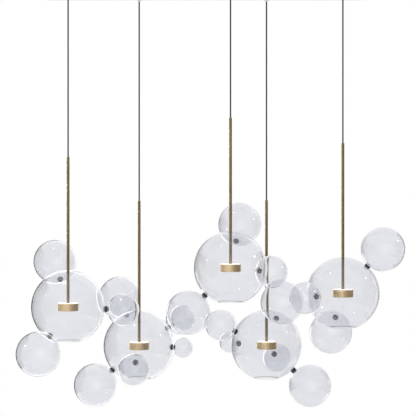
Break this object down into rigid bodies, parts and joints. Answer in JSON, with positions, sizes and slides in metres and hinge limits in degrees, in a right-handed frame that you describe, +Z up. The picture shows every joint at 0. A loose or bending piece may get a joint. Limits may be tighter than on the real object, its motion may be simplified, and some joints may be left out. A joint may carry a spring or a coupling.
{
  "type": "pendant light",
  "caption": "Linear pendant light: a long ceiling canopy carries brass stems with flat lamp heads inside clear glass globes, each joined to smaller glass bubbles.",
  "frame": {"origin": "centre of the face that lies on the ceiling", "axes": "+Z up into the ceiling, +X along the canopy, -Y towards the front row of pendants"},
  "size_m": [1.5613, 0.7437, 1.7578],
  "materials": {
    "canopy_white": "matt white powder coat",
    "zinc_steel": "zinc plated",
    "brass_stem": "satin brushed",
    "brass_head": "satin brass colour, with a white opal diffuser on top",
    "clear_glass": "clear blown glass",
    "dark_metal": "dark burnished",
    "dark_textile": "woven cable cover"
  },
  "bodies": {
    "canopy": {"canopy_cover": "canopy_white", "ceiling_plate": "zinc_steel"},
    "cable_1": {"cable_1": "dark_textile"},
    "pendant_1": {"stem_1": "brass_stem", "lamp_head_1": "brass_head", "globe_1": "clear_glass", "connector_1a": "dark_metal", "bubble_1a": "clear_glass", "connector_1b": "dark_metal", "bubble_1b": "clear_glass", "connector_1c": "dark_metal", "bubble_1c": "clear_glass"},
    "cable_2": {"cable_2": "dark_textile"},
    "pendant_2": {"stem_2": "brass_stem", "lamp_head_2": "brass_head", "globe_2": "clear_glass", "connector_2a": "dark_metal", "bubble_2a": "clear_glass", "connector_2b": "dark_metal", "bubble_2b": "clear_glass", "connector_2c": "dark_metal", "bubble_2c": "clear_glass", "connector_2d": "dark_metal", "bubble_2d": "clear_glass", "connector_2e": "dark_metal", "bubble_2e": "clear_glass"},
    "cable_3": {"cable_3": "dark_textile"},
    "pendant_3": {"stem_3": "brass_stem", "lamp_head_3": "brass_head", "globe_3": "clear_glass", "connector_3a": "dark_metal", "bubble_3a": "clear_glass", "connector_3b": "dark_metal", "bubble_3b": "clear_glass", "connector_3c": "dark_metal", "bubble_3c": "clear_glass"},
    "cable_4": {"cable_4": "dark_textile"},
    "pendant_4": {"stem_4": "brass_stem", "lamp_head_4": "brass_head", "globe_4": "clear_glass", "connector_4a": "dark_metal", "bubble_4a": "clear_glass", "connector_4b": "dark_metal", "bubble_4b": "clear_glass", "connector_4c": "dark_metal", "bubble_4c": "clear_glass", "connector_4d": "dark_metal", "bubble_4d": "clear_glass", "connector_4e": "dark_metal", "bubble_4e": "clear_glass"},
    "cable_5": {"cable_5": "dark_textile"},
    "pendant_5": {"stem_5": "brass_stem", "lamp_head_5": "brass_head", "globe_5": "clear_glass", "connector_5a": "dark_metal", "bubble_5a": "clear_glass", "connector_5b": "dark_metal", "bubble_5b": "clear_glass", "connector_5c": "dark_metal", "bubble_5c": "clear_glass"}
  },
  "joints": [
    {"name": "swing_1", "type": "hinge", "parent": "canopy", "child": "cable_1", "pos_m": [-0.56002, -0.1225, -0.04892], "axis": [1, 0, 0], "range_deg": [-12, 1]},
    {"name": "turn_1", "type": "hinge", "parent": "cable_1", "child": "pendant_1", "pos_m": [-0.56002, -0.1225, -0.71098], "axis": [0, 0, 1], "range_deg": [-12, 12]},
    {"name": "swing_2", "type": "hinge", "parent": "canopy", "child": "cable_2", "pos_m": [-0.28001, 0.1225, -0.04892], "axis": [1, 0, 0], "range_deg": [-1, 12]},
    {"name": "turn_2", "type": "hinge", "parent": "cable_2", "child": "pendant_2", "pos_m": [-0.28001, 0.1225, -0.88899], "axis": [0, 0, 1], "range_deg": [-10, 10]},
    {"name": "swing_3", "type": "hinge", "parent": "canopy", "child": "cable_3", "pos_m": [0.102, -0.1225, -0.04892], "axis": [1, 0, 0], "range_deg": [-12, 1]},
    {"name": "turn_3", "type": "hinge", "parent": "cable_3", "child": "pendant_3", "pos_m": [0.102, -0.1225, -0.5515], "axis": [0, 0, 1], "range_deg": [-3, 3]},
    {"name": "swing_4", "type": "hinge", "parent": "canopy", "child": "cable_4", "pos_m": [0.257, 0.1225, -0.04892], "axis": [1, 0, 0], "range_deg": [-1, 12]},
    {"name": "turn_4", "type": "hinge", "parent": "cable_4", "child": "pendant_4", "pos_m": [0.257, 0.1225, -0.88646], "axis": [0, 0, 1], "range_deg": [-2.5, 2.5]},
    {"name": "swing_5", "type": "hinge", "parent": "canopy", "child": "cable_5", "pos_m": [0.56002, -0.1225, -0.04892], "axis": [1, 0, 0], "range_deg": [-12, 1]},
    {"name": "turn_5", "type": "hinge", "parent": "cable_5", "child": "pendant_5", "pos_m": [0.56002, -0.1225, -0.65499], "axis": [0, 0, 1], "range_deg": [-3, 3]}
  ]
}
